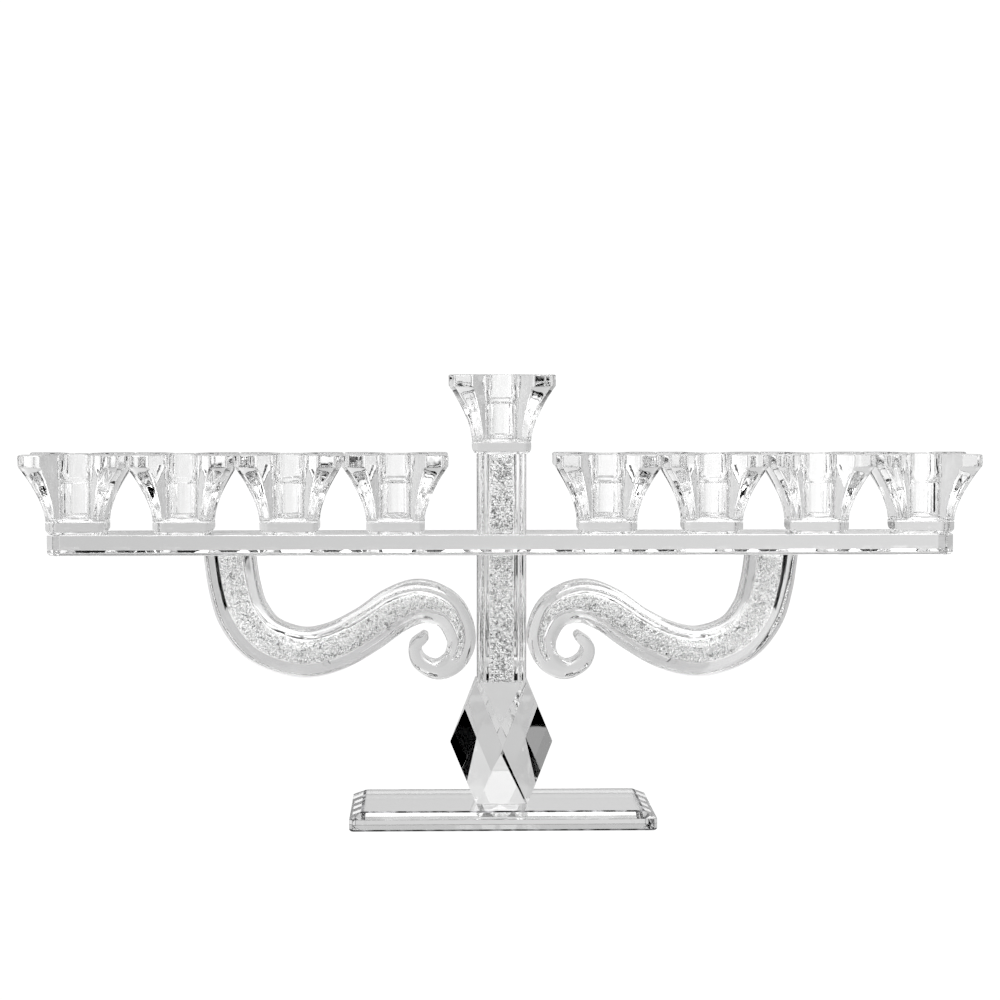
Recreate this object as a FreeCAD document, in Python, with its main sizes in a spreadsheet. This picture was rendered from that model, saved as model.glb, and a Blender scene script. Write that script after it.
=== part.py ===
import FreeCAD, Part
import os

import Sketcher

# Nine-light crystal menorah. Millimetres, +Z up, +X along the bar, the front faces -Y.
# The origin is the middle of the underside of the base.

Vector = FreeCAD.Vector
doc = FreeCAD.newDocument("menorah")

# ---------------------------------------------------------------- driving dimensions

DIMENSIONS = {
    "base_length": 145.0,
    "base_depth": 76.0,
    "base_thickness": 8.6,
    "base_bevel_width": 6.5,
    "base_bevel_drop": 3.0,
    "base_corner_cut": 1.5,
    "base_foot_cut": 0.8,
    "knop_top_half": 12.4,
    "knop_length": 58.6,
    "knop_waist_height": 28.4,
    "column_side": 23.6,
    "column_corner_cut": 3.0,
    "column_bore": 18.8,
    "lower_column_length": 61.3,
    "upper_column_length": 38.0,
    "fill_clearance": 0.1,
    "bar_length": 432.0,
    "bar_depth": 36.0,
    "bar_thickness": 10.0,
    "bar_top_cut": 0.5,
    "bar_foot_cut": 1.3,
    "bar_corner_cut": 3.0,
    "cup_pitch": 50.8,
    "cup_length": 38.0,
    "cup_foot_side": 28.0,
    "cup_foot_thickness": 6.4,
    "cup_foot_corner": 4.5,
    "cup_foot_rounding": 2.8,
    "cup_rim_side": 50.4,
    "cup_rim_thickness": 5.4,
    "cup_rim_corner": 5.5,
    "cup_rim_rounding": 0.8,
    "cup_flare_power": 1.6,
    "flute_mouth": 29.6,
    "flute_floor": 13.4,
    "barrel_radius": 11.5,
    "socket_bore": 17.4,
    "socket_depth": 14.2,
    "candle_bore": 12.0,
    "candle_bore_depth": 30.5,
    "arm_depth": 22.0,
    "arm_edge_share": 0.15,
    "channel_edge_share": 0.29,
}

# The left arm as stations along its middle line, from under the bar to the curl's tip:
# distance from the column's axis, height, width of the glass, width of the filled channel.
ARM_STATIONS = [
    (-130.6, 128.5, 24.2, 17.4),
    (-128.3, 112.9, 24.2, 17.2),
    (-123.9, 98.9, 24.0, 17.0),
    (-113.8, 86.8, 23.2, 16.8),
    (-96.5, 80.8, 23.3, 16.8),
    (-80.6, 83.5, 22.6, 16.4),
    (-65.0, 91.6, 21.6, 15.8),
    (-51.2, 101.1, 21.4, 14.6),
    (-38.5, 105.3, 20.4, 11.4),
    (-25.4, 100.5, 16.8, 7.0),
    (-19.4, 87.9, 14.2, 4.4),
    (-22.6, 76.9, 10.8, 3.2),
    (-31.0, 72.4, 8.2, 2.4),
    (-39.3, 76.3, 6.8, 0.0),
    (-41.6, 83.5, 5.8, 0.0),
    (-37.2, 88.3, 4.2, 0.0),
]
STATION_FIELDS = ("across", "up", "width", "channel")
CHANNEL_STATIONS = 12

dims = doc.addObject("Spreadsheet::Sheet", "dims")


def fill_sheet():
    """Writes each dimension to its own aliased cell."""
    cells = dict(DIMENSIONS)
    for number, station in enumerate(ARM_STATIONS):
        for field, value in zip(STATION_FIELDS, station):
            cells[f"arm_{field}_{number}"] = value
    for row, (alias, value) in enumerate(cells.items(), start=1):
        dims.set(f"A{row}", alias)
        dims.set(f"B{row}", str(value))
        dims.setAlias(f"B{row}", alias)
    doc.recompute()


fill_sheet()

# Heights of the stacked pieces, as expressions on the sheet.
KNOP_FOOT = "dims.base_thickness"
COLUMN_FOOT = f"{KNOP_FOOT} + dims.knop_length"
BAR_FOOT = f"{COLUMN_FOOT} + dims.lower_column_length"
BAR_TOP = f"{BAR_FOOT} + dims.bar_thickness"
SHAMASH_FOOT = f"{BAR_TOP} + dims.upper_column_length"

# ---------------------------------------------------------------- sketch and body helpers


def new_body(label, height):
    """An empty body whose own origin stands on the column's axis at a height."""
    body = doc.addObject("PartDesign::Body", label)
    body.setExpression("Placement.Base.z", height)
    return body


def level_sketch(body, name, height="0"):
    """A sketch on the body's own XY plane, raised by an expression."""
    sketch = body.newObject("Sketcher::SketchObject", name)
    plane = next(f for f in body.Origin.OriginFeatures if f.Role == "XY_Plane")
    sketch.AttachmentSupport = [(plane, "")]
    sketch.MapMode = "FlatFace"
    sketch.setExpression("AttachmentOffset.Base.z", height)
    return sketch


def bind(sketch, constraint, expression):
    """Adds a dimension to a sketch and ties it to the sheet."""
    index = sketch.addConstraint(constraint)
    sketch.setExpression(f"Constraints[{index}]", expression)


def add_rectangle(sketch, width, depth):
    """A rectangle centred on the sketch's origin."""
    corners = [Vector(-9, -5, 0), Vector(9, -5, 0), Vector(9, 5, 0), Vector(-9, 5, 0)]
    for number in range(4):
        sketch.addGeometry(Part.LineSegment(corners[number], corners[(number + 1) % 4]))
    for number in range(4):
        sketch.addConstraint(Sketcher.Constraint("Coincident", number, 2, (number + 1) % 4, 1))
    for number, direction in enumerate(("Horizontal", "Vertical", "Horizontal", "Vertical")):
        sketch.addConstraint(Sketcher.Constraint(direction, number))
    sketch.addConstraint(Sketcher.Constraint("Symmetric", 0, 1, 1, 2, -1, 1))
    bind(sketch, Sketcher.Constraint("DistanceX", 0, 1, 0, 2, 18), width)
    bind(sketch, Sketcher.Constraint("DistanceY", 1, 1, 1, 2, 10), depth)


def add_rounded_square(sketch, side, corner):
    """A square with round corners, centred on the sketch's origin. Lines are 0, 2, 4 and 6."""
    reach, inner, radius = 10.0, 7.0, 3.0
    turn = FreeCAD.Rotation(Vector(0, 0, 1), 90)
    start, end, middle = Vector(-inner, -reach, 0), Vector(inner, -reach, 0), Vector(inner, -inner, 0)
    slope = Vector(1, -1, 0).normalize() * radius
    for number in range(4):
        arc_end = turn.multVec(start)
        sketch.addGeometry(Part.LineSegment(start, end))
        sketch.addGeometry(Part.Arc(end, middle + slope, arc_end))
        start, end = arc_end, turn.multVec(end)
        middle, slope = turn.multVec(middle), turn.multVec(slope)
    for number in range(8):
        sketch.addConstraint(Sketcher.Constraint("Tangent", number, 2, (number + 1) % 8, 1))
    for number in (0, 4):
        sketch.addConstraint(Sketcher.Constraint("Horizontal", number))
        sketch.addConstraint(Sketcher.Constraint("Vertical", number + 2))
    for number in (3, 5, 7):
        sketch.addConstraint(Sketcher.Constraint("Equal", 1, number))
    sketch.addConstraint(Sketcher.Constraint("Symmetric", 1, 3, 5, 3, -1, 1))
    bind(sketch, Sketcher.Constraint("Radius", 1, radius), corner)
    bind(sketch, Sketcher.Constraint("DistanceX", 6, 1, 2, 1, 2 * reach), side)
    bind(sketch, Sketcher.Constraint("DistanceY", 0, 1, 4, 1, 2 * reach), side)


def add_circle(sketch, diameter):
    """A circle on the sketch's origin."""
    sketch.addGeometry(Part.Circle(Vector(0, 0, 0), Vector(0, 0, 1), 5))
    sketch.addConstraint(Sketcher.Constraint("Coincident", 0, 3, -1, 1))
    bind(sketch, Sketcher.Constraint("Diameter", 0, 10), diameter)


def pad(body, sketch, length):
    """Extrudes a sketch upwards."""
    feature = body.newObject("PartDesign::Pad", "Pad")
    feature.Profile = sketch
    feature.setExpression("Length", length)
    doc.recompute()
    return feature


def bore(body, diameter, mouth, depth):
    """A round blind hole that goes straight down from a mouth height."""
    sketch = level_sketch(body, "BoreSketch", mouth)
    add_circle(sketch, diameter)
    before = body.Shape.Volume
    feature = body.newObject("PartDesign::Pocket", "Bore")
    feature.Profile = sketch
    feature.setExpression("Length", depth)
    doc.recompute()
    check_cut(body, before)


def check_cut(body, before):
    """A cut that points away from the solid removes nothing and raises nothing."""
    if body.Shape.Volume >= before - 1.0:
        raise RuntimeError(f"{body.Label}: a cut removed nothing")


def edge_names(shape, wanted):
    """Names of the edges whose box passes a test."""
    return [f"Edge{n}" for n, edge in enumerate(shape.Edges, start=1) if wanted(edge.BoundBox)]


def is_upright(box):
    """True for an edge that runs along Z."""
    return box.XLength < 0.01 and box.YLength < 0.01


def dress(body, kind, wanted, size):
    """Chamfers or fillets the chosen edges of a body's last feature."""
    base = body.Tip
    before = body.Shape.Volume
    feature = body.newObject(f"PartDesign::{kind}", kind)
    feature.Base = (base, edge_names(base.Shape, wanted))
    feature.setExpression("Radius" if kind == "Fillet" else "Size", size)
    doc.recompute()
    check_cut(body, before)
    return feature


# ---------------------------------------------------------------- base


def base_plate():
    """Rectangular plate: wide shallow bevel round its top, small one round its foot."""
    body = new_body("base_plate", "0")
    sketch = level_sketch(body, "Outline")
    add_rectangle(sketch, "dims.base_length", "dims.base_depth")
    pad(body, sketch, "dims.base_thickness")
    top = dims.base_thickness
    bevel = dress(body, "Chamfer", lambda box: box.ZMin > top - 0.01, "dims.base_bevel_drop")
    bevel.ChamferType = "Two distances"
    bevel.setExpression("Size2", "dims.base_bevel_width")
    doc.recompute()
    flat = max(body.Shape.Faces, key=lambda face: face.CenterOfMass.z)
    if abs(flat.BoundBox.XLength - dims.base_length + 2 * dims.base_bevel_width) > 0.1:
        bevel.FlipDirection = True
        doc.recompute()
    dress(body, "Chamfer", lambda box: box.ZMax < 0.01, "dims.base_foot_cut")
    dress(body, "Chamfer", is_upright, "dims.base_corner_cut")
    return body


# ---------------------------------------------------------------- knop and column


def frustum(name, foot_half, top_half, height, length):
    """Half of a double pyramid: square at both ends, its axis turned to Z."""
    wedge = doc.addObject("Part::Wedge", name)
    for low, high in (("Xmin", "Xmax"), ("Zmin", "Zmax")):
        wedge.setExpression(low, f"-({foot_half})")
        wedge.setExpression(high, foot_half)
    for low, high in (("X2min", "X2max"), ("Z2min", "Z2max")):
        wedge.setExpression(low, f"-({top_half})")
        wedge.setExpression(high, top_half)
    wedge.setExpression("Ymin", "0")
    wedge.setExpression("Ymax", length)
    wedge.Placement.Rotation = FreeCAD.Rotation(Vector(1, 0, 0), 90)
    wedge.setExpression("Placement.Base.z", height)
    return wedge


def knop():
    """Square ends turned 45 degrees against the waist: 8 triangles and 4 tall rhombi."""
    end_half = "dims.knop_top_half"
    waist_half = "2 * dims.knop_top_half"
    waist = f"{KNOP_FOOT} + dims.knop_waist_height"
    upper_length = "dims.knop_length - dims.knop_waist_height"
    lower = frustum("KnopLower", end_half, waist_half, KNOP_FOOT, "dims.knop_waist_height")
    upper = frustum("KnopUpper", waist_half, end_half, waist, upper_length)
    pyramids = doc.addObject("Part::MultiFuse", "KnopPyramids")
    pyramids.Shapes = [lower, upper]
    prism = doc.addObject("Part::Prism", "KnopPrism")
    prism.Polygon = 4
    prism.setExpression("Circumradius", waist_half)
    prism.setExpression("Height", "dims.knop_length")
    prism.setExpression("Placement.Base.z", KNOP_FOOT)
    common = doc.addObject("Part::MultiCommon", "knop")
    common.Shapes = [pyramids, prism]
    common.Refine = True
    return common


def column(label, foot, length):
    """Square post with cut corners and a bore right through for the chips."""
    body = new_body(label, foot)
    sketch = level_sketch(body, "Outline")
    add_rectangle(sketch, "dims.column_side", "dims.column_side")
    pad(body, sketch, length)
    dress(body, "Chamfer", is_upright, "dims.column_corner_cut")
    bore(body, "dims.column_bore", length, length)
    return body


def column_chips(label, foot, length):
    """The packed crystal chips in a column's bore."""
    fill = doc.addObject("Part::Cylinder", label)
    fill.setExpression("Radius", "dims.column_bore / 2 - dims.fill_clearance")
    fill.setExpression("Height", f"{length} - 2 * dims.fill_clearance")
    fill.setExpression("Placement.Base.z", f"{foot} + dims.fill_clearance")
    return fill


# ---------------------------------------------------------------- crossbar


def crossbar():
    """Long rectangular bar: corners cut, foot edges bevelled and top edges broken."""
    body = new_body("crossbar", BAR_FOOT)
    sketch = level_sketch(body, "Outline")
    add_rectangle(sketch, "dims.bar_length", "dims.bar_depth")
    pad(body, sketch, "dims.bar_thickness")
    dress(body, "Chamfer", is_upright, "dims.bar_corner_cut")
    dress(body, "Chamfer", lambda box: box.ZMax < 0.01, "dims.bar_foot_cut")
    top = dims.bar_thickness
    dress(body, "Chamfer", lambda box: box.ZMin > top - 0.01, "dims.bar_top_cut")
    return body


# ---------------------------------------------------------------- candle cups

FLARE_LEVELS = 4


def add_flute(sketch):
    """One flute's outline: slanting sides down to the barrel's round wall."""
    mouth, floor, outside = 15.0, 6.5, 26.0
    radius = dims.barrel_radius
    depth = (radius**2 - floor**2) ** 0.5
    sketch.addGeometry(Part.LineSegment(Vector(-mouth, outside, 0), Vector(mouth, outside, 0)))
    sketch.addGeometry(Part.LineSegment(Vector(mouth, outside, 0), Vector(floor, depth, 0)))
    sketch.addGeometry(Part.LineSegment(Vector(-floor, depth, 0), Vector(-mouth, outside, 0)))
    arc = Part.Arc(Vector(floor, depth, 0), Vector(0, radius, 0), Vector(-floor, depth, 0))
    sketch.addGeometry(arc)
    for first, first_end, second, second_end in ((0, 2, 1, 1), (1, 2, 3, 1), (3, 2, 2, 1), (2, 2, 0, 1)):
        sketch.addConstraint(Sketcher.Constraint("Coincident", first, first_end, second, second_end))
    sketch.addConstraint(Sketcher.Constraint("Coincident", 3, 3, -1, 1))
    sketch.addConstraint(Sketcher.Constraint("Symmetric", 0, 1, 0, 2, -2))
    bind(sketch, Sketcher.Constraint("Radius", 3, radius), "dims.barrel_radius")
    bind(sketch, Sketcher.Constraint("DistanceX", 0, 1, 0, 2, 2 * mouth), "dims.flute_mouth")
    bind(sketch, Sketcher.Constraint("DistanceY", -1, 1, 0, 1, outside), "dims.cup_rim_side / 2 + 1")
    bind(sketch, Sketcher.Constraint("DistanceX", -1, 1, 1, 2, floor), "dims.flute_floor / 2")
    bind(sketch, Sketcher.Constraint("DistanceX", 2, 1, -1, 1, floor), "dims.flute_floor / 2")


def candle_cup(label, across, foot):
    """Pressed square cup: foot, flared wall with a flute in each side, stepped bore."""
    body = new_body(label, foot)
    body.setExpression("Placement.Base.x", across)
    foot_sketch = level_sketch(body, "Foot")
    add_rounded_square(foot_sketch, "dims.cup_foot_side", "dims.cup_foot_corner")
    pad(body, foot_sketch, "dims.cup_foot_thickness")
    dress(body, "Fillet", lambda box: box.ZMax < 0.01, "dims.cup_foot_rounding")

    rise = "(dims.cup_length - dims.cup_rim_thickness - dims.cup_foot_thickness)"
    sections = []
    for level in range(FLARE_LEVELS):
        share = f"({level} / {FLARE_LEVELS - 1})"
        spread = f"{share} ^ dims.cup_flare_power"
        section = level_sketch(body, "Flare", f"dims.cup_foot_thickness + {rise} * {share}")
        side = f"dims.cup_foot_side + (dims.cup_rim_side - dims.cup_foot_side) * {spread}"
        corner = f"dims.cup_foot_corner + (dims.cup_rim_corner - dims.cup_foot_corner) * {spread}"
        add_rounded_square(section, side, corner)
        sections.append(section)
    flare = body.newObject("PartDesign::AdditiveLoft", "Flare")
    flare.Profile = sections[0]
    flare.Sections = sections[1:]
    doc.recompute()

    rim_sketch = level_sketch(body, "Rim", "dims.cup_length - dims.cup_rim_thickness")
    add_rounded_square(rim_sketch, "dims.cup_rim_side", "dims.cup_rim_corner")
    pad(body, rim_sketch, "dims.cup_rim_thickness")
    top = dims.cup_length
    dress(body, "Fillet", lambda box: box.ZMin > top - 0.01, "dims.cup_rim_rounding")

    before = body.Shape.Volume
    flute_sketch = level_sketch(body, "FluteSketch", "dims.cup_foot_thickness")
    add_flute(flute_sketch)
    flute = body.newObject("PartDesign::Pocket", "Flute")
    flute.Profile = flute_sketch
    flute.Reversed = True
    flute.setExpression("Length", "dims.cup_length")
    doc.recompute()
    check_cut(body, before)
    flutes = body.newObject("PartDesign::PolarPattern", "Flutes")
    flutes.Originals = [flute]
    flutes.Axis = (flute_sketch, ["N_Axis"])
    flutes.Angle = 360
    flutes.Occurrences = 4
    body.Tip = flutes
    before = body.Shape.Volume
    doc.recompute()
    check_cut(body, before)

    bore(body, "dims.socket_bore", "dims.cup_length", "dims.socket_depth")
    bore(body, "dims.candle_bore", "dims.cup_length", "dims.candle_bore_depth")
    return body


# ---------------------------------------------------------------- scroll arms


def station(number, field):
    """One value of one of the arm's stations, from the sheet."""
    return getattr(dims, f"arm_{field}_{number}")


def arm_frames():
    """The middle point and the direction across the arm at each station."""
    points = [Vector(station(n, "across"), 0, station(n, "up")) for n in range(len(ARM_STATIONS))]
    middle_line = Part.BSplineCurve()
    middle_line.interpolate(points)
    frames = [(points[0], Vector(1, 0, 0))]
    for point in points[1:]:
        along = middle_line.tangent(middle_line.parameter(point))[0]
        frames.append((point, Vector(0, 1, 0).cross(along).normalize() * -1))
    return frames


def cut_corner_section(point, across, width, depth, cut):
    """A rectangle with cut corners, square to the arm's middle line."""
    half, deep = width / 2, depth / 2
    outline = [
        (half, deep - cut),
        (half - cut, deep),
        (cut - half, deep),
        (-half, deep - cut),
        (-half, cut - deep),
        (cut - half, -deep),
        (half - cut, -deep),
        (half, cut - deep),
    ]
    corners = [point + across * side + Vector(0, back, 0) for side, back in outline]
    return Part.makePolygon(corners + corners[:1])


def arm_glass():
    """The whole left arm, before its channel is taken out."""
    sections = []
    for number, (point, across) in enumerate(arm_frames()):
        width = station(number, "width")
        cut = dims.arm_edge_share * width
        sections.append(cut_corner_section(point, across, width, dims.arm_depth, cut))
    return Part.makeLoft(sections, True, False)


def arm_channel(clearance):
    """The left arm's eight-sided channel, open at the top and closed in the curl."""
    frames = arm_frames()[:CHANNEL_STATIONS]
    sections = []
    for number, (point, across) in enumerate(frames):
        width = station(number, "channel") - 2 * clearance
        cut = dims.channel_edge_share * width
        if number == 0:
            point = point - Vector(0, 0, clearance)
        sections.append(cut_corner_section(point, across, width, width, cut))
    return Part.makeLoft(sections, True, False)


def add_shape(label, shape):
    """A sub-part whose shape was made with Part's own functions."""
    feature = doc.addObject("Part::Feature", label)
    feature.Shape = shape
    return feature


def arms():
    """Both scroll arms and the chips in them: the right side mirrors the left."""
    glass = arm_glass().cut(arm_channel(0.0))
    chips = arm_channel(dims.fill_clearance)
    made = []
    for label, shape in (("arm", glass), ("arm_chips", chips)):
        made.append(add_shape(f"left_{label}", shape))
        mirrored = shape.mirror(Vector(0, 0, 0), Vector(1, 0, 0))
        made.append(add_shape(f"right_{label}", mirrored))
    return made


# ---------------------------------------------------------------- the whole menorah

CUPS_EACH_SIDE = 4


def build():
    """Every sub-part, each one a node."""
    nodes = [
        base_plate(),
        knop(),
        column("lower_column", COLUMN_FOOT, "dims.lower_column_length"),
        column_chips("lower_column_chips", COLUMN_FOOT, "dims.lower_column_length"),
        crossbar(),
        column("upper_column", BAR_TOP, "dims.upper_column_length"),
        column_chips("upper_column_chips", BAR_TOP, "dims.upper_column_length"),
        candle_cup("shamash_cup", "0", SHAMASH_FOOT),
    ]
    for number in range(1, CUPS_EACH_SIDE + 1):
        nodes.append(candle_cup(f"candle_cup_left_{number}", f"-{number} * dims.cup_pitch", BAR_TOP))
        nodes.append(candle_cup(f"candle_cup_right_{number}", f"{number} * dims.cup_pitch", BAR_TOP))
    nodes.extend(arms())
    return nodes


def check_document(nodes):
    """Stops on a failed object or on a sub-part that isn't one sound solid."""
    doc.recompute()
    for item in doc.Objects:
        if "Invalid" in item.State or "Error" in item.State:
            raise RuntimeError(f"{item.Name} failed: {item.State}")
    for node in nodes:
        shape = node.Shape
        if shape.isNull() or not shape.isValid() or len(shape.Solids) != 1:
            raise RuntimeError(f"{node.Label} isn't one valid solid")
        box = shape.BoundBox
        print(
            f"{node.Label:22s} volume {shape.Volume:9.0f}"
            f"  x {box.XMin:8.2f} {box.XMax:8.2f}"
            f"  y {box.YMin:7.2f} {box.YMax:7.2f}"
            f"  z {box.ZMin:7.2f} {box.ZMax:7.2f}"
        )


nodes = build()
check_document(nodes)
os.makedirs("parts", exist_ok=True)
for node in nodes:
    node.Shape.exportStep(f"parts/{node.Label}.step")
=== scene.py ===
import math
import random

import bmesh
import bpy
from mathutils import Matrix, Quaternion, Vector
from mathutils.noise import random_unit_vector, seed_set

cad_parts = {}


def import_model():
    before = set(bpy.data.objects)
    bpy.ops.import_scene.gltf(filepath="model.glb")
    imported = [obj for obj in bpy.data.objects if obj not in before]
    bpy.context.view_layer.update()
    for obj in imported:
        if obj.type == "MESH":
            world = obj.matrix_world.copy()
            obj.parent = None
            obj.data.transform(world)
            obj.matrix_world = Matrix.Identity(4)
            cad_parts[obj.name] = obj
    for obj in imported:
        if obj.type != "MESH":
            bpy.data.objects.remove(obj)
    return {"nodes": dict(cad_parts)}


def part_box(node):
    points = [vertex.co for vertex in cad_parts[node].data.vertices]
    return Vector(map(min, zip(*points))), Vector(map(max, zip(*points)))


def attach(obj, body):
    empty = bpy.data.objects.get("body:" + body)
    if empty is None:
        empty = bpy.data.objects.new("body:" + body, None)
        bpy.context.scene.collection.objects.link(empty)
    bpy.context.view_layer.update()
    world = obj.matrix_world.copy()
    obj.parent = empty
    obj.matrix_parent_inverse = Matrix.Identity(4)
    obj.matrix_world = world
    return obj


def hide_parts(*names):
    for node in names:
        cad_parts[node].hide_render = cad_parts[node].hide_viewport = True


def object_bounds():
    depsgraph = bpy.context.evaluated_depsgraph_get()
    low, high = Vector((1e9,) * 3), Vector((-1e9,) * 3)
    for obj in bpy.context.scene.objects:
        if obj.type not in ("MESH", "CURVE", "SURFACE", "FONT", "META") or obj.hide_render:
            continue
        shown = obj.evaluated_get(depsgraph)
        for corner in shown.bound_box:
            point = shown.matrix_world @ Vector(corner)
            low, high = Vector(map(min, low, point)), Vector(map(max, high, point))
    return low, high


# Clear crystal menorah. Metres, +Z up, the front faces -Y. Every piece's place and outer size come
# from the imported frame, and the sizes of its details are those of the CAD.

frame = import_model()
cad_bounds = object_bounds()

MM = 0.001
ROOT = "root"
# Bonded pieces reach this far into the one below, so that no film of air is left between them.
BOND = 0.03 * MM

# ------------------------------------------------------------------ node helpers


def box_of(node):
    """Lowest corner, highest corner and size of a CAD node."""
    low, high = (Vector(corner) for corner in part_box(node))
    return low, high, high - low


class Tree:
    """Short ways to add and link shader nodes in one tree."""

    def __init__(self, tree):
        self.tree = tree
        tree.nodes.clear()

    def node(self, kind, **settings):
        item = self.tree.nodes.new(kind)
        for key, value in settings.items():
            setattr(item, key, value)
        return item

    def feed(self, socket, value):
        if isinstance(value, bpy.types.NodeSocket):
            self.tree.links.new(value, socket)
        else:
            socket.default_value = value

    def math(self, operation, first, second=0.0, third=0.0):
        item = self.node("ShaderNodeMath", operation=operation)
        self.feed(item.inputs[0], first)
        self.feed(item.inputs[1], second)
        self.feed(item.inputs[2], third)
        return item.outputs[0]

    def smooth_step(self, value, low, high, start=0.0, end=1.0):
        item = self.node("ShaderNodeMapRange", interpolation_type="SMOOTHSTEP")
        self.feed(item.inputs["Value"], value)
        item.inputs["From Min"].default_value = low
        item.inputs["From Max"].default_value = high
        item.inputs["To Min"].default_value = start
        item.inputs["To Max"].default_value = end
        return item.outputs["Result"]

    def noise(self, place, scale, detail=2.0, rough=0.5):
        item = self.node("ShaderNodeTexNoise")
        self.feed(item.inputs["Vector"], place)
        item.inputs["Scale"].default_value = scale
        item.inputs["Detail"].default_value = detail
        item.inputs["Roughness"].default_value = rough
        return item.outputs["Fac"]

    def bump(self, height, distance):
        item = self.node("ShaderNodeBump")
        item.inputs["Distance"].default_value = distance
        self.feed(item.inputs["Height"], height)
        return item.outputs["Normal"]

    def place(self):
        return self.node("ShaderNodeTexCoord").outputs["Object"]


# ------------------------------------------------------------------ materials


def new_material(name):
    material = bpy.data.materials.new(name)
    material.use_nodes = True
    return material, Tree(material.node_tree)


def glass(name, ior, tint, wave_size, wave_height, haze, clear=1.0):
    """Glass: even tint and IOR, slow waves in its polish and a trace of haze.

    clear is the share of the light that goes through, and the rest is scattered by small cracks."""
    material, tree = new_material(name)
    shader = tree.node("ShaderNodeBsdfPrincipled")
    output = tree.node("ShaderNodeOutputMaterial")
    shader.inputs["Base Color"].default_value = (*tint, 1.0)
    shader.inputs["Transmission Weight"].default_value = clear
    shader.inputs["IOR"].default_value = ior
    place = tree.place()
    waves = tree.noise(place, 1.0 / wave_size)
    tree.feed(shader.inputs["Normal"], tree.bump(waves, wave_height))
    smears = tree.noise(place, 0.5 / wave_size, detail=4.0)
    tree.feed(shader.inputs["Roughness"], tree.smooth_step(smears, 0.45, 0.8, 0.0, haze))
    tree.feed(output.inputs["Surface"], shader.outputs[0])
    return material


def ground_glass_painted_shade(name):
    """The narrow ground edges of the base plate: matt and finely chipped, with a colour painted near
    black in patches as painted shade, for the dark lines that the edges show in bright surroundings.
    """
    material, tree = new_material(name)
    shader = tree.node("ShaderNodeBsdfPrincipled")
    output = tree.node("ShaderNodeOutputMaterial")
    place = tree.place()
    chips = tree.noise(place, 900.0, detail=3.0, rough=0.7)
    patches = tree.noise(place, 160.0)
    # Painted shade: the base colour runs from near black to dark grey in patches, standing in for the
    # dark lines that the edges show in bright surroundings.
    ramp = tree.node("ShaderNodeValToRGB")
    tree.feed(ramp.inputs["Fac"], patches)
    ramp.color_ramp.elements[0].position = 0.45
    ramp.color_ramp.elements[0].color = (0.01, 0.01, 0.011, 1.0)
    ramp.color_ramp.elements[1].position = 0.65
    ramp.color_ramp.elements[1].color = (0.3, 0.3, 0.31, 1.0)
    tree.feed(shader.inputs["Base Color"], ramp.outputs["Color"])
    tree.feed(shader.inputs["Roughness"], tree.smooth_step(chips, 0.3, 0.7, 0.25, 0.6))
    tree.feed(shader.inputs["Normal"], tree.bump(chips, 0.0002))
    shader.inputs["IOR"].default_value = CRYSTAL_IOR
    shader.inputs["Transmission Weight"].default_value = 0.25
    tree.feed(output.inputs["Surface"], shader.outputs[0])
    return material


def packed_chips(name):
    """The deeper chips, which scatter the light: pale grey, painted darker towards the edge of each
    chip-sized cell as painted shade where the chips meet.
    """
    material, tree = new_material(name)
    shader = tree.node("ShaderNodeBsdfPrincipled")
    output = tree.node("ShaderNodeOutputMaterial")
    cells = tree.node("ShaderNodeTexVoronoi")
    tree.feed(cells.inputs["Vector"], tree.place())
    cells.inputs["Scale"].default_value = 900.0
    depth = cells.outputs["Distance"]
    # Painted shade: the colour darkens from 0.97 to 0.85 towards each cell's edge, where the chips
    # meet.
    tree.feed(shader.inputs["Base Color"], tree.smooth_step(depth, 0.1, 0.8, 0.97, 0.85))
    tree.feed(shader.inputs["Normal"], tree.bump(depth, 0.0004))
    shader.inputs["Roughness"].default_value = 0.35
    tree.feed(output.inputs["Surface"], shader.outputs[0])
    return material


CRYSTAL_IOR = 1.52
PRESSED_IOR = 1.5
CUT_TINT = (0.988, 0.988, 0.988)
MOULDED_TINT = (0.984, 0.984, 0.984)
CHIP_TINT = (0.985, 0.985, 0.985)

CUT_CRYSTAL = glass("cut_crystal", CRYSTAL_IOR, CUT_TINT, 0.03, 0.00001, 0.004)
KNOP_CRYSTAL = glass("knop_crystal", CRYSTAL_IOR, CUT_TINT, 0.03, 0.000008, 0.003)
ARM_CRYSTAL = glass("arm_crystal", CRYSTAL_IOR, MOULDED_TINT, 0.008, 0.00003, 0.01)
PRESSED_GLASS = glass("pressed_glass", PRESSED_IOR, MOULDED_TINT, 0.006, 0.00006, 0.01)
CHIP_CRYSTAL = glass("crystal_chips", CRYSTAL_IOR, CHIP_TINT, 0.002, 0.00001, 0.02, 0.3)
CLEAR_CHIP = glass("clear_chips", CRYSTAL_IOR, CHIP_TINT, 0.002, 0.00001, 0.01, 0.95)
GROUND_EDGE_PAINTED_SHADE = ground_glass_painted_shade("ground_edge_painted_shade")
CHIP_CORE = packed_chips("packed_chips")

# ------------------------------------------------------------------ mesh helpers


def ring_mesh(rings, loop=False):
    """Quads between rings of equal point counts, with closed ends or as one endless loop."""
    mesh = bmesh.new()
    rows = [[mesh.verts.new(point) for point in ring] for ring in rings]
    count = len(rows[0])
    pairs = list(zip(rows, rows[1:]))
    if loop:
        pairs.append((rows[-1], rows[0]))
    for low, high in pairs:
        for at in range(count):
            after = (at + 1) % count
            mesh.faces.new((low[at], low[after], high[after], high[at]))
    if not loop:
        mesh.faces.new(reversed(rows[0]))
        mesh.faces.new(rows[-1])
    return mesh


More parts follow.
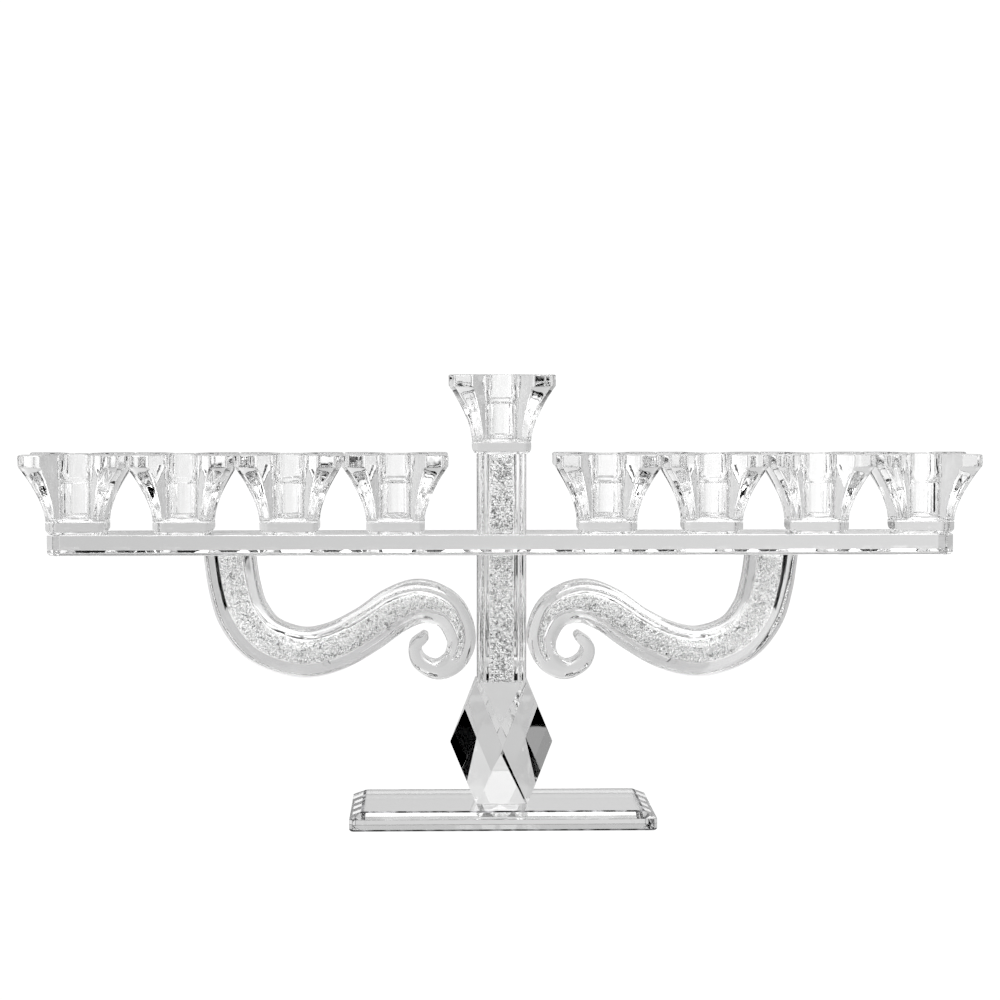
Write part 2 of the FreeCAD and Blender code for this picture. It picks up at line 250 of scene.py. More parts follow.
def add_object(name, data, materials, nodes):
    """Makes an object of a mesh that stands for CAD nodes and rides on the one body."""
    for material in materials:
        data.materials.append(material)
    piece = bpy.data.objects.new(name, data)
    bpy.context.scene.collection.objects.link(piece)
    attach(piece, ROOT)
    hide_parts(*nodes)
    return piece


def add_piece(name, mesh, materials, nodes):
    """Makes a smooth-shaded piece of a bmesh."""
    bmesh.ops.recalc_face_normals(mesh, faces=mesh.faces)
    data = bpy.data.meshes.new(name)
    mesh.to_mesh(data)
    mesh.free()
    for polygon in data.polygons:
        polygon.use_smooth = True
    return add_object(name, data, materials, nodes)


def sharpen(piece, degrees):
    """Marks edges that turn by more than an angle as sharp, so flat faces stay flat."""
    mesh = bmesh.new()
    mesh.from_mesh(piece.data)
    limit = math.radians(degrees)
    for edge in mesh.edges:
        if len(edge.link_faces) == 2 and edge.calc_face_angle() > limit:
            edge.smooth = False
    mesh.to_mesh(piece.data)
    mesh.free()


POLISHED_EDGE = 0.25 * MM


def soften_edges(piece):
    """Rounds every hard edge a little, as polishing does."""
    bevel = piece.modifiers.new("soft_edges", "BEVEL")
    bevel.width = POLISHED_EDGE
    bevel.segments = 2
    bevel.limit_method = "ANGLE"
    bevel.angle_limit = math.radians(20.0)
    bevel.harden_normals = True
    return bevel


# ------------------------------------------------------------------ base plate and bar


def cut_corner_ring(half_x, half_y, cut, height):
    """A rectangle with cut corners at one height, 8 points."""
    corners = [
        (half_x, half_y - cut),
        (half_x - cut, half_y),
        (cut - half_x, half_y),
        (-half_x, half_y - cut),
        (-half_x, cut - half_y),
        (cut - half_x, -half_y),
        (half_x - cut, -half_y),
        (half_x, cut - half_y),
    ]
    return [Vector((x, y, height)) for x, y in corners]


# A bevel takes this share of its width off the corner cut beside it, down to a least cut.
CORNER_LOSS = 0.6
LEAST_CUT = 0.2 * MM


def slab(name, node, foot_cut, top_inset, top_drop, corner_cut, edge_material, ground=0.0):
    """A plate with a small bevel round its foot and another round its top.

    The foot's bevel and the softened edges take the edge material, which on the base plate is matt
    glass painted dark as painted shade.
    ground is the share of the top bevel, along its upper edge, that takes it too."""
    low, high, size = box_of(node)
    half_x, half_y = size.x / 2, size.y / 2
    foot_corner = max(corner_cut - CORNER_LOSS * foot_cut, LEAST_CUT)
    top_corner = max(corner_cut - CORNER_LOSS * top_inset, LEAST_CUT)
    rings = [
        cut_corner_ring(half_x - foot_cut, half_y - foot_cut, foot_corner, low.z - BOND),
        cut_corner_ring(half_x, half_y, corner_cut, low.z + foot_cut),
        cut_corner_ring(half_x, half_y, corner_cut, high.z - top_drop),
        cut_corner_ring(half_x - top_inset, half_y - top_inset, top_corner, high.z),
    ]
    if ground > 0.0:
        lower, upper = rings[2], rings[3]
        rings.insert(3, [one.lerp(two, 1.0 - ground) for one, two in zip(lower, upper)])
    mesh = ring_mesh(rings)
    flat_top = high.z - 0.001 * MM
    for face in mesh.faces:
        height = face.calc_center_median().z
        if low.z < height < low.z + foot_cut or high.z - top_drop * ground < height < flat_top:
            face.material_index = 1
    piece = add_piece(name, mesh, (CUT_CRYSTAL, edge_material), (node,))
    sharpen(piece, 5.0)
    soften_edges(piece).material = 1


# The base plate's edges take the matt edge material, whose dark colour is painted shade.
slab("base_plate_glass", "base_plate", 0.8 * MM, 6.5 * MM, 3.0 * MM, 1.5 * MM, GROUND_EDGE_PAINTED_SHADE, 0.2)
slab("crossbar_glass", "crossbar", 1.3 * MM, 0.5 * MM, 0.5 * MM, 3.0 * MM, CUT_CRYSTAL)

# ------------------------------------------------------------------ knop

# The waist's height above the knop's foot.
KNOP_WAIST = 28.4 * MM


def knop():
    """Twelve corners: square ends, and a square waist turned 45 degrees against them."""
    low, high, size = box_of("knop")
    waist = size.x / 2
    end = waist / 2
    middle = low.z + KNOP_WAIST
    mesh = bmesh.new()
    for height in (low.z - BOND, high.z):
        for x in (-end, end):
            for y in (-end, end):
                mesh.verts.new((x, y, height))
    for x, y in ((waist, 0), (-waist, 0), (0, waist), (0, -waist)):
        mesh.verts.new((x, y, middle))
    bmesh.ops.convex_hull(mesh, input=mesh.verts)
    bmesh.ops.dissolve_limit(mesh, angle_limit=0.01, verts=mesh.verts, edges=mesh.edges)
    piece = add_piece("knop_glass", mesh, (KNOP_CRYSTAL,), ("knop",))
    sharpen(piece, 5.0)
    soften_edges(piece)


knop()

# ------------------------------------------------------------------ column

COLUMN_CUT = 3.0 * MM
# The bore's radius.
COLUMN_BORE = 9.4 * MM
BORE_STEPS = 64


def square_ring(half, cut, height, count):
    """A square with cut corners, its points spread at even angles with the corners kept."""
    ring = []
    for at in range(count):
        angle = 2 * math.pi * (at + 0.5) / count
        across, along = math.cos(angle), math.sin(angle)
        reach = min(half / max(abs(across), abs(along)), (2 * half - cut) / (abs(across) + abs(along)))
        ring.append(Vector((across * reach, along * reach, height)))
    for corner in cut_corner_ring(half, half, cut, height):
        nearest = min(range(count), key=lambda at: (ring[at] - corner).length)
        ring[nearest] = corner
    return ring


def circle_ring(radius, height, turns):
    """A circle round the upright axis, with a point at each of the angles."""
    return [Vector((radius * math.cos(turn), radius * math.sin(turn), height)) for turn in turns]


def even_turns(count):
    """Angles spread evenly round a circle, as square_ring spreads its points."""
    return [2 * math.pi * (at + 0.5) / count for at in range(count)]


def column(name, node):
    """Square post with cut corners and a round bore through it."""
    low, high, size = box_of(node)
    foot, top, half = low.z - BOND, high.z, size.x / 2
    rings = [
        square_ring(half, COLUMN_CUT, foot, BORE_STEPS),
        square_ring(half, COLUMN_CUT, top, BORE_STEPS),
        circle_ring(COLUMN_BORE, top, even_turns(BORE_STEPS)),
        circle_ring(COLUMN_BORE, foot, even_turns(BORE_STEPS)),
    ]
    piece = add_piece(name, ring_mesh(rings, loop=True), (CUT_CRYSTAL,), (node,))
    sharpen(piece, 20.0)


column("lower_column_glass", "lower_column")
column("upper_column_glass", "upper_column")

# ------------------------------------------------------------------ candle cups

# In plan: the flutes' walls and floors, the round barrel that the floors lie on, foot and rim.
FLUTE_WALL_SLOPE = 0.48
FLUTE_FLOOR_HALF = 6.7 * MM
BARREL = 11.5 * MM
FOOT_HALF = 14.0 * MM
FOOT_CORNER = 4.5 * MM
RIM_HALF = 25.2 * MM
RIM_CORNER = 5.5 * MM
# Heights above the cup's foot, and the roundings of its foot, shoulder and rim.
FOOT_TOP = 6.4 * MM
RIM_FOOT = 32.6 * MM
CUP_TOP = 38.0 * MM
FOOT_ROUNDING = 2.8 * MM
SHOULDER = 1.2 * MM
RIM_EDGE = 0.8 * MM
# The bore, with its depths below the rim: straight socket, its bowl, and the candle's bore.
SOCKET_RADIUS = 8.7 * MM
BOWL_START = 9.0 * MM
SOCKET_DEPTH = 14.2 * MM
CANDLE_RADIUS = 6.0 * MM
CANDLE_DEPTH = 30.5 * MM
BORE_LIP = 0.4 * MM
BORE_END = 2.5 * MM
FLOOR_RADIUS = 3.5 * MM

OCTANT_POINTS = 24
CORNER_STEPS = 6
LEDGE_STEPS = 6
WALL_STEPS = 26


def rounded_path(corners, radii, count):
    """Points spread evenly along a path of straight runs whose corners are rounded."""
    path = [corners[0]]
    for before, corner, after, radius in zip(corners, corners[1:], corners[2:], radii):
        into, out = (before - corner).normalized(), (after - corner).normalized()
        half_turn = into.angle(out) / 2
        shorter = min((before - corner).length, (after - corner).length)
        reach = min(radius / math.tan(half_turn), 0.49 * shorter)
        first, last = corner + into * reach, corner + out * reach
        for step in range(CORNER_STEPS + 1):
            share = step / CORNER_STEPS
            path.append(first.lerp(corner, share).lerp(corner.lerp(last, share), share))
    path.append(corners[-1])
    lengths = [0.0]
    for one, two in zip(path, path[1:]):
        lengths.append(lengths[-1] + (two - one).length)
    points = []
    at = 0
    for number in range(count):
        wanted = lengths[-1] * number / (count - 1)
        while at < len(lengths) - 2 and lengths[at + 1] < wanted:
            at += 1
        span = max(lengths[at + 1] - lengths[at], 1e-12)
        points.append(path[at].lerp(path[at + 1], (wanted - lengths[at]) / span))
    return points


def cup_half(height):
    """Half the side of the cup's square outline at a height above its foot."""
    share = min(max((height - FOOT_TOP) / (RIM_FOOT - FOOT_TOP), 0.0), 1.0)
    return FOOT_HALF + (RIM_HALF - FOOT_HALF) * share**1.6


def fluted_octant(half, corner_radius):
    """The fluted outline from the middle of a side to the diagonal."""
    floor_y = math.sqrt(BARREL**2 - FLUTE_FLOOR_HALF**2)
    mouth_x = FLUTE_FLOOR_HALF + FLUTE_WALL_SLOPE * (half - floor_y)
    diagonal = half - corner_radius * (1 - math.sqrt(0.5))
    corners = [
        Vector((0, BARREL, 0)),
        Vector((FLUTE_FLOOR_HALF * 0.5, math.sqrt(BARREL**2 - (FLUTE_FLOOR_HALF * 0.5) ** 2), 0)),
        Vector((FLUTE_FLOOR_HALF, floor_y, 0)),
        Vector((mouth_x, half, 0)),
        Vector((half - corner_radius * 0.42, half, 0)),
        Vector((diagonal, diagonal, 0)),
    ]
    radii = (20 * MM, 1.0 * MM, 1.0 * MM, corner_radius)
    return rounded_path(corners, radii, OCTANT_POINTS)


def plain_octant(half, corner_radius):
    """The same stretch of a plain square with rounded corners."""
    diagonal = half - corner_radius * (1 - math.sqrt(0.5))
    corners = [
        Vector((0, half, 0)),
        Vector((half - corner_radius * 0.42, half, 0)),
        Vector((diagonal, diagonal, 0)),
    ]
    return rounded_path(corners, (corner_radius,), OCTANT_POINTS)


def whole_outline(octant, height):
    """Eight mirrored copies of an octant, as one ring that starts at the middle of the back."""
    quarter = octant + [Vector((point.y, point.x, 0)) for point in reversed(octant[:-1])]
    ring = []
    for turn in range(4):
        spin = Matrix.Rotation(-turn * math.pi / 2, 3, "Z")
        ring.extend(spin @ point for point in quarter[:-1])
    return [Vector((point.x, point.y, height)) for point in ring]


def foot_rings():
    """The rounded foot, its shoulder and the ledge where the flutes begin."""
    rings = []
    for step in range(8):
        angle = math.pi / 2 * step / 7
        inset = FOOT_ROUNDING * (1 - math.sin(angle))
        octant = plain_octant(FOOT_HALF - inset, FOOT_CORNER - inset * 0.5)
        rings.append(whole_outline(octant, FOOT_ROUNDING * (1 - math.cos(angle)) - BOND))
    for step in range(5):
        angle = math.pi / 2 * step / 4
        inset = SHOULDER * (1 - math.cos(angle)) * 0.6
        octant = plain_octant(FOOT_HALF - inset, FOOT_CORNER)
        rings.append(whole_outline(octant, FOOT_TOP - 0.4 * MM - SHOULDER * (1 - math.sin(angle))))
    for step in range(LEDGE_STEPS + 1):
        share = step / LEDGE_STEPS
        blend = share * share * (3 - 2 * share)
        height = FOOT_TOP - 0.3 * MM + 1.0 * MM * share
        half = cup_half(height)
        pairs = zip(plain_octant(half, FOOT_CORNER), fluted_octant(half, FOOT_CORNER))
        rings.append(whole_outline([one.lerp(two, blend) for one, two in pairs], height))
    return rings


def wall_rings():
    """The flaring fluted walls, and the upright rim with its rounded edge."""
    rings = []
    start = FOOT_TOP + 0.7 * MM
    for step in range(1, WALL_STEPS + 1):
        height = start + (RIM_FOOT - start) * step / WALL_STEPS
        corner = (4.5 + (step / WALL_STEPS)) * MM
        rings.append(whole_outline(fluted_octant(cup_half(height), corner), height))
    rim = fluted_octant(RIM_HALF, RIM_CORNER)
    rings.append(whole_outline(rim, CUP_TOP - RIM_EDGE))
    for step in range(1, 5):
        angle = math.pi / 2 * step / 4
        inset = RIM_EDGE * (1 - math.cos(angle)) / RIM_HALF
        octant = [point * (1 - inset) for point in rim]
        rings.append(whole_outline(octant, CUP_TOP - RIM_EDGE + RIM_EDGE * math.sin(angle)))
    return rings


def bore_rings(turns):
    """The stepped bore from its lip down to its floor, with points at the rim's own angles."""
    rings = [
        circle_ring(SOCKET_RADIUS + BORE_LIP, CUP_TOP, turns),
        circle_ring(SOCKET_RADIUS + 0.3 * BORE_LIP, CUP_TOP - 0.3 * BORE_LIP, turns),
        circle_ring(SOCKET_RADIUS, CUP_TOP - BORE_LIP, turns),
        circle_ring(SOCKET_RADIUS, CUP_TOP - BOWL_START, turns),
    ]
    bowl = SOCKET_DEPTH - BOWL_START
    for step in range(1, 9):
        angle = math.pi / 2 * step / 8
        radius = CANDLE_RADIUS + (SOCKET_RADIUS - CANDLE_RADIUS) * math.cos(angle)
        rings.append(circle_ring(radius, CUP_TOP - BOWL_START - bowl * math.sin(angle), turns))
    rings.append(circle_ring(CANDLE_RADIUS, CUP_TOP - CANDLE_DEPTH + BORE_END, turns))
    for step in range(1, 7):
        angle = math.pi / 2 * step / 6
        radius = CANDLE_RADIUS - BORE_END * (1 - math.cos(angle)) if step < 6 else FLOOR_RADIUS
        height = CUP_TOP - CANDLE_DEPTH + BORE_END * (1 - math.sin(angle))
        rings.append(circle_ring(radius, height, turns))
    return rings


def cup_rings():
    """The rings of one cup, from its foot up the outside and down the bore."""
    rings = foot_rings() + wall_rings()
    turns = [math.atan2(point.y, point.x) for point in rings[-1]]
    return rings + bore_rings(turns)


def candle_cup(node):
    """One pressed cup, standing where its CAD node stands."""
    low, high, _ = box_of(node)
    mesh = ring_mesh(cup_rings())
    middle = Vector(((low.x + high.x) / 2, (low.y + high.y) / 2, low.z))
    bmesh.ops.translate(mesh, verts=mesh.verts, vec=middle)
    piece = add_piece(f"{node}_glass", mesh, (PRESSED_GLASS,), (node,))
    sharpen(piece, 50.0)


for cup_node in sorted(name for name in frame["nodes"] if "cup" in name):
    candle_cup(cup_node)

# ------------------------------------------------------------------ scroll arms

# Stations of the left arm's middle line, in mm: across, up, width of glass, width of channel.
ARM_STATIONS = [
    (-130.6, 128.5, 24.2, 17.4),
    (-128.3, 112.9, 24.2, 17.2),
    (-123.9, 98.9, 24.0, 17.0),
    (-113.8, 86.8, 23.2, 16.8),
    (-96.5, 80.8, 23.3, 16.8),
    (-80.6, 83.5, 22.6, 16.4),
    (-65.0, 91.6, 21.6, 15.8),
    (-51.2, 101.1, 21.4, 14.6),
    (-38.5, 105.3, 20.4, 11.4),
    (-25.4, 100.5, 16.8, 7.0),
    (-19.4, 87.9, 14.2, 4.4),
    (-22.6, 76.9, 10.8, 3.2),
    (-31.0, 72.4, 8.2, 2.4),
    (-39.3, 76.3, 6.8, 0.0),
    (-41.6, 83.5, 5.8, 0.0),
    (-37.2, 88.3, 4.2, 0.0),
]
SPAN_STEPS = 10
# The channel runs through the first 12 stations.
CHANNEL_ROWS = 11 * SPAN_STEPS + 1
ARM_DEPTH = 22.0 * MM
# The edges' cut and the curl's end cut, as shares of the arm's width, and their rounding.
ARM_EDGE = 0.15
CURL_EDGE = 0.2
ARM_SOFT = 0.6 * MM
CURL_SOFT = 0.2 * MM
CURL_STEPS = 5


def between(before, start, end, after, share):
    """Catmull-Rom value between start and end."""
    one = 2 * start
    two = end - before
    three = 2 * before - 5 * start + 4 * end - after
    four = -before + 3 * start - 3 * end + after
    return 0.5 * (one + two * share + three * share**2 + four * share**3)


def arm_line():
    """Fine stations along the arm: middle, direction across, width, channel width."""
    rows = [tuple(value * MM for value in row) for row in ARM_STATIONS]
    rows.insert(0, tuple(2 * one - two for one, two in zip(rows[0], rows[1])))
    rows.append(tuple(2 * one - two for one, two in zip(rows[-1], rows[-2])))
    fine = []
    for at in range(1, len(rows) - 2):
        for step in range(SPAN_STEPS):
            share = step / SPAN_STEPS
            fine.append([between(*values, share) for values in zip(*rows[at - 1 : at + 3])])
    fine.append(list(rows[-2]))
    middles = [Vector((row[0], 0, row[1])) for row in fine]
    line = []
    for at, middle in enumerate(middles):
        along = (middles[min(at + 1, len(middles) - 1)] - middles[max(at - 1, 0)]).normalized()
        across = Vector((0, 1, 0)).cross(along) * -1
        if at == 0:
            across = Vector((1, 0, 0))
        line.append((middle, across, fine[at][2], max(fine[at][3], 0.0)))
    return line


SECTION_POINTS = 44


def section(middle, across, width, depth, cut, soft):
    """A rectangle with cut and slightly rounded corners across the arm."""
    half, deep = width / 2, depth / 2
    quarter = [
        Vector((0, deep, 0)),
        Vector((half - cut, deep, 0)),
        Vector((half, deep - cut, 0)),
        Vector((half, 0, 0)),
    ]
    path = rounded_path(quarter, (soft, soft), SECTION_POINTS // 4 + 1)
    right = path + [Vector((point.x, -point.y, 0)) for point in reversed(path[:-1])]
    whole = right + [Vector((-point.x, point.y, 0)) for point in reversed(right[1:-1])]
    return [middle + across * point.x + Vector((0, point.y, 0)) for point in whole]


def round_section(middle, across, radius):
    """The channel's round section, with its points in step with the outer section."""
    points = []
    for at in range(SECTION_POINTS):
        turn = 2 * math.pi * at / SECTION_POINTS
        deep = Vector((0, radius * math.cos(turn), 0))
        points.append(middle + across * radius * math.sin(turn) + deep)
    return points


def arm(side, sign):
    """One scroll arm: solid glass with a tapering channel that is open at its top."""
    line = arm_line()
    rings = []
    for middle, across, _, channel in reversed(line[:CHANNEL_ROWS]):
        rings.append(round_section(middle, across, channel / 2))
    for middle, across, width, _ in line:
        rings.append(section(middle, across, width, ARM_DEPTH, ARM_EDGE * width, ARM_SOFT))
    end_middle, end_across, end_width, _ = line[-1]
    along = Vector((0, 1, 0)).cross(end_across)
    for step in range(1, CURL_STEPS):
        angle = math.pi / 2 * step / CURL_STEPS
        middle = end_middle + along * (end_width / 2 * math.sin(angle))
        width = end_width * math.cos(angle)
        depth = ARM_DEPTH - (end_width - width)
        rings.append(section(middle, end_across, width, depth, CURL_EDGE * width, CURL_SOFT))
    mesh = ring_mesh(rings)
    if sign > 0:
        for vert in mesh.verts:
            vert.co.x = -vert.co.x
    name = f"{side}_arm"
    piece = add_piece(f"{name}_glass", mesh, (ARM_CRYSTAL,), (name,))
    sharpen(piece, 35.0)


arm("left", -1)
arm("right", 1)

# ------------------------------------------------------------------ crystal chips


# The materials of a filling, by index.
HAZY_CHIP, CORE, CLEAR = 0, 1, 2
CLEAR_SHARE = 0.15
ROUNDED_SHARE = 0.5
CORE_POINTS = 24


def chip_shapes(count, seed):
    """A few crushed crystal chips of unit size: corners and faces of small cut lumps."""
    seed_set(seed)
    shapes = []
    for _ in range(count):
        mesh = bmesh.new()
        points = [mesh.verts.new(random_unit_vector() * 0.55) for _ in range(11)]
        bmesh.ops.convex_hull(mesh, input=points)
        inner = [vert for vert in mesh.verts if not vert.link_faces]
        bmesh.ops.delete(mesh, geom=inner, context="VERTS")
        bmesh.ops.scale(mesh, verts=mesh.verts, vec=(1.0, 0.9, 0.75))
        bmesh.ops.recalc_face_normals(mesh, faces=mesh.faces)
        mesh.verts.index_update()
        corners = [vert.co.copy() for vert in mesh.verts]
        faces = [[vert.index for vert in face.verts] for face in mesh.faces]
        mesh.free()
        shapes.append((corners, faces))
    return shapes


def fill(node, places, size, core_rings, draw):
    """The chips against a channel's wall round a duller core of deeper ones, as one mesh.

    About one chip in seven is clear, and the others are full of small cracks."""
    shapes = chip_shapes(40, draw.randrange(1, 1000))
    points = []
    faces = []
    smooth = []
    kinds = []
    for middle in places:
        corners, chip_faces = draw.choice(shapes)
        turn = Quaternion(random_unit_vector(), draw.uniform(0.0, math.pi)).to_matrix()
        reach = size * draw.uniform(0.8, 1.0)
        first = len(points)
        points.extend(middle + turn @ corner * reach for corner in corners)
        faces.extend([first + at for at in face] for face in chip_faces)
        smooth.extend([draw.random() < ROUNDED_SHARE] * len(chip_faces))
        kinds.extend([CLEAR if draw.random() < CLEAR_SHARE else HAZY_CHIP] * len(chip_faces))
    count = len(core_rings[0])
    first = len(points)
    for ring in core_rings:
        points.extend(ring)
    for row in range(len(core_rings) - 1):
        for at in range(count):
            low = first + row * count
            after = (at + 1) % count
            faces.append([low + at, low + after, low + count + after, low + count + at])
    faces.append([first + at for at in reversed(range(count))])
    faces.append([first + (len(core_rings) - 1) * count + at for at in range(count)])
    core_faces = len(faces) - len(kinds)
    smooth.extend([True] * core_faces)
    kinds.extend([CORE] * core_faces)
    name = f"{node}_filling"
    data = bpy.data.meshes.new(name)
    data.from_pydata(points, [], faces)
    data.polygons.foreach_set("use_smooth", smooth)
    data.polygons.foreach_set("material_index", kinds)
    add_object(name, data, (CHIP_CRYSTAL, CHIP_CORE, CLEAR_CHIP), (node,))


COLUMN_CHIP = 2.1 * MM
ARM_CHIP = 1.6 * MM
# The rest are in chip sizes: spacing, scatter inwards from the wall, and the gap to the core.
CHIP_CLOSENESS = 0.6
CHIP_SCATTER = 0.3
CORE_GAP = 0.75
# The turn from one chip to the next along an arm, which spreads them evenly.
GOLDEN_TURN = 2.39996


def column_fill(node, seed):
    """Chips packed in a column's bore."""
    low, high, _ = box_of(node)
    draw = random.Random(seed)
    spacing = COLUMN_CHIP * CHIP_CLOSENESS
    outer = COLUMN_BORE - 0.55 * COLUMN_CHIP
    foot, top = low.z + 0.55 * COLUMN_CHIP, high.z - 0.55 * COLUMN_CHIP
    layers = round((top - foot) / spacing)
    around = round(2 * math.pi * outer / spacing)
    places = []
    for layer in range(layers + 1):
        for at in range(around):
            turn = 2 * math.pi * (at + 0.5 * (layer % 2) + draw.uniform(-0.3, 0.3)) / around
            radius = outer - draw.random() ** 2 * CHIP_SCATTER * COLUMN_CHIP
            height = foot + (top - foot) * layer / layers + draw.uniform(-0.3, 0.3) * spacing
            height = min(max(height, foot), top)
            places.append(Vector((radius * math.cos(turn), radius * math.sin(turn), height)))
    core = outer - CORE_GAP * COLUMN_CHIP
    rings = [circle_ring(core, height, even_turns(CORE_POINTS)) for height in (foot, top)]
    fill(node, places, COLUMN_CHIP, rings, draw)


def arm_fill(side, sign, seed):
    """Chips along the arm's channel."""
    node = f"{side}_arm_chips"
    draw = random.Random(seed)
    rows = arm_line()[:CHANNEL_ROWS]
    top = rows[0][0].z - 0.55 * ARM_CHIP
    spacing = ARM_CHIP * CHIP_CLOSENESS
    places = []
    core_rings = []
    owed = 0.0
    number = 0
    for (middle, across, _, channel), (following, _, _, _) in zip(rows, rows[1:]):
        outer = max(channel / 2 - 0.52 * ARM_CHIP, 0.2 * MM)
        owed += 2 * math.pi * max(outer, 0.6 * MM) * (following - middle).length / spacing**2
        while owed > 1.0:
            owed -= 1.0
            number += 1
            radius = outer - min(draw.random() ** 2 * CHIP_SCATTER * ARM_CHIP, 0.8 * outer)
            turn = number * GOLDEN_TURN + draw.uniform(-0.1, 0.1)
            spot = middle.lerp(following, draw.random())
            spot = spot + across * radius * math.cos(turn) + Vector((0, radius * math.sin(turn), 0))
            if spot.z < top:
                places.append(Vector((-spot.x * sign, spot.y, spot.z)))
        core = outer - CORE_GAP * ARM_CHIP
        if core > 0.5 * MM and middle.z < top:
            ring = round_section(middle, across, core)
            core_rings.append([Vector((-point.x * sign, point.y, point.z)) for point in ring])
    fill(node, places, ARM_CHIP, core_rings, draw)


column_fill("lower_column_chips", 11)
column_fill("upper_column_chips", 12)
arm_fill("left", -1, 13)
arm_fill("right", 1, 14)

# ------------------------------------------------------------------ floor, light and camera


def floor():
    """A plain pale light table. It stays out of the camera's own view, which is white like it."""
    mesh = bmesh.new()
    level = cad_bounds[0][2] - 0.1 * MM
    corners = [(-0.12, -0.3), (0.12, -0.3), (0.12, 0.5), (-0.12, 0.5)]
    mesh.faces.new([mesh.verts.new((x, y, level)) for x, y in corners])
    data = bpy.data.meshes.new("table_top")
    mesh.to_mesh(data)
    mesh.free()
    material, tree = new_material("table_white")
    glow = tree.node("ShaderNodeEmission")
    output = tree.node("ShaderNodeOutputMaterial")
    drift = tree.noise(tree.place(), 3.0)
    tree.feed(glow.inputs["Color"], tree.smooth_step(drift, 0.3, 0.7, 0.6, 0.66))
    tree.feed(output.inputs["Surface"], glow.outputs[0])
    data.materials.append(material)
    table = bpy.data.objects.new("table_top", data)
    table.visible_camera = False
    bpy.context.scene.collection.objects.link(table)


# Low dark cards at the sides, which the knop's facets show: which side (+1 right), sine of the
# lowest and highest elevation, and how dark.
SIDE_CARDS = [
    (1, -0.36, -0.09, 1.0),
    (-1, -0.36, -0.18, 1.0),
    (-1, -0.18, -0.139, 0.37),
    (-1, -0.139, -0.09, 1.0),
]
CARD_BLUR = 0.0005
# How much brighter light is after four surfaces, how bright it is once scattered by the chips,
# and how much of a sideways reflection off the outside is taken away.
DEEP_GAIN = 0.6
SCATTERED_LIGHT = 2.9
OUTSIDE_LOSS = 0.9


def dark_room(tree, side, back, rise):
    """Share of the light that is left in a room that is dark behind the camera and low behind."""
    raised = tree.smooth_step(rise, 0.3, 0.8, 0.0, 0.8)
    lit = tree.smooth_step(tree.math("SUBTRACT", back, raised), -0.65, -0.25)
    above = tree.smooth_step(rise, -0.2, -0.18)
    below = tree.smooth_step(rise, 0.0, 0.06, 1.0, 0.0)
    belt = tree.math("MULTIPLY", above, below)
    belt = tree.math("MULTIPLY", belt, tree.smooth_step(back, 0.45, 0.65, 1.0, 0.0))
    belt = tree.math("MULTIPLY", belt, tree.smooth_step(side, -0.7, -0.6))
    return tree.math("MULTIPLY", lit, tree.math("SUBTRACT", 1.0, belt))


def side_cards(tree, light, side, back, rise):
    """The light with the dark cards held in front of it."""
    for toward, lowest, highest, dark in SIDE_CARDS:
        facing = tree.smooth_step(tree.math("MULTIPLY", side, toward), 0.7, 0.78)
        level = tree.smooth_step(tree.math("ABSOLUTE", back), 0.3, 0.4, 1.0, 0.0)
        above = tree.smooth_step(rise, lowest - CARD_BLUR, lowest + CARD_BLUR)
        below = tree.smooth_step(rise, highest - CARD_BLUR, highest + CARD_BLUR, 1.0, 0.0)
        wide = tree.math("MULTIPLY", facing, level)
        card = tree.math("MULTIPLY", wide, tree.math("MULTIPLY", above, below))
        shade = tree.math("MULTIPLY", card, dark)
        light = tree.math("MULTIPLY", light, tree.math("SUBTRACT", 1.0, shade))
    return light


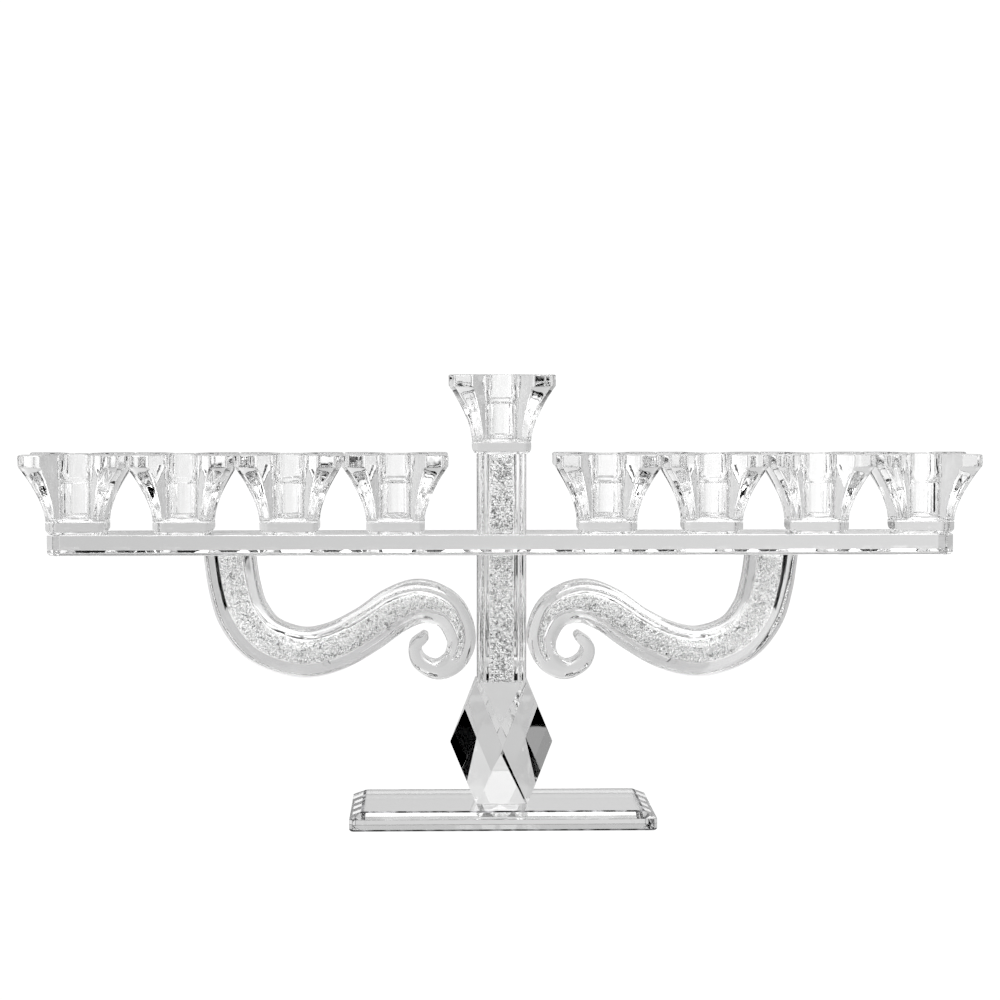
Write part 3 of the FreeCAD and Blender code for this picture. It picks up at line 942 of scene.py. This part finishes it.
def world():
    """White behind everything. Light that the glass has mirrored inside also sees a dark room."""
    scene_world = bpy.data.worlds.new("studio")
    scene_world.use_nodes = True
    bpy.context.scene.world = scene_world
    tree = Tree(scene_world.node_tree)
    split = tree.node("ShaderNodeSeparateXYZ")
    tree.feed(split.inputs[0], tree.node("ShaderNodeTexCoord").outputs["Generated"])
    path = tree.node("ShaderNodeLightPath")
    side, back, rise = split.outputs["X"], split.outputs["Y"], split.outputs["Z"]
    tone = tree.smooth_step(rise, 0.15, 0.8, 0.68, 1.3)
    drift = tree.smooth_step(side, -0.25, 0.3, 0.88, 1.12)
    straight = tree.math("MULTIPLY", tone, drift)
    room = tree.math("MULTIPLY", dark_room(tree, side, back, rise), straight)
    mirrored = tree.math("GREATER_THAN", path.outputs["Glossy Depth"], 0.5)
    outside = tree.math("LESS_THAN", path.outputs["Ray Depth"], 2.5)
    mix = tree.node("ShaderNodeMix")
    tree.feed(mix.inputs["Factor"], tree.math("GREATER_THAN", mirrored, outside))
    tree.feed(mix.inputs["A"], straight)
    tree.feed(mix.inputs["B"], room)
    through = tree.math("GREATER_THAN", path.outputs["Transmission Depth"], 3.5)
    gain = tree.math("MULTIPLY_ADD", through, DEEP_GAIN, 1.0)
    light = tree.math("MULTIPLY", mix.outputs["Result"], gain)
    light = side_cards(tree, light, side, back, rise)
    turned = tree.smooth_step(tree.math("ABSOLUTE", side), 0.3, 0.5)
    gloss = tree.math("MULTIPLY", tree.math("MULTIPLY", mirrored, outside), turned)
    light = tree.math("MULTIPLY", light, tree.math("MULTIPLY_ADD", gloss, -OUTSIDE_LOSS, 1.0))
    scattered = tree.math("MINIMUM", path.outputs["Diffuse Depth"], 1.0)
    light = tree.math("MAXIMUM", light, tree.math("MULTIPLY", scattered, SCATTERED_LIGHT))
    around = tree.node("ShaderNodeBackground")
    tree.feed(around.inputs["Color"], light)
    seen = tree.node("ShaderNodeBackground")
    seen.inputs["Color"].default_value = (1.05, 1.05, 1.05, 1.0)
    choose = tree.node("ShaderNodeMixShader")
    tree.feed(choose.inputs["Fac"], path.outputs["Is Camera Ray"])
    tree.feed(choose.inputs[1], around.outputs[0])
    tree.feed(choose.inputs[2], seen.outputs[0])
    tree.feed(tree.node("ShaderNodeOutputWorld").inputs["Surface"], choose.outputs[0])


def soft_top():
    """A large soft lamp above and a little in front."""
    data = bpy.data.lights.new("soft_top", "AREA")
    data.shape = "RECTANGLE"
    data.size, data.size_y = 0.9, 0.6
    data.energy = 6.0
    lamp = bpy.data.objects.new("soft_top", data)
    lamp.location = (0.1, -0.3, 1.3)
    aim = Vector((0.0, 0.0, 0.1))
    lamp.rotation_euler = (aim - lamp.location).to_track_quat("-Z", "Y").to_euler()
    bpy.context.scene.collection.objects.link(lamp)


def camera():
    """A long lens level with the shamash cup's rim, slightly left of the middle."""
    data = bpy.data.cameras.new("camera")
    data.lens = 92.0
    data.sensor_width = 36.0
    data.clip_start = 0.01
    data.clip_end = 100.0
    view = bpy.data.objects.new("camera", data)
    view.location = (-0.0343, -1.2295, 0.2165)
    aim = Vector((-0.0006, 0.0, 0.154))
    view.rotation_euler = (aim - view.location).to_track_quat("-Z", "Y").to_euler()
    bpy.context.scene.collection.objects.link(view)
    bpy.context.scene.camera = view


floor()
world()
soft_top()
camera()

display = bpy.context.scene.view_settings
display.view_transform = "Standard"
display.use_curve_mapping = True
display.curve_mapping.black_level = (0.03, 0.03, 0.03)
display.curve_mapping.update()

# Light crosses many surfaces in this much glass.
cycles = bpy.context.scene.cycles
cycles.max_bounces = 32
cycles.transmission_bounces = 32
cycles.glossy_bounces = 16
cycles.diffuse_bounces = 16
cycles.transparent_max_bounces = 32
cycles.caustics_reflective = True
cycles.caustics_refractive = True
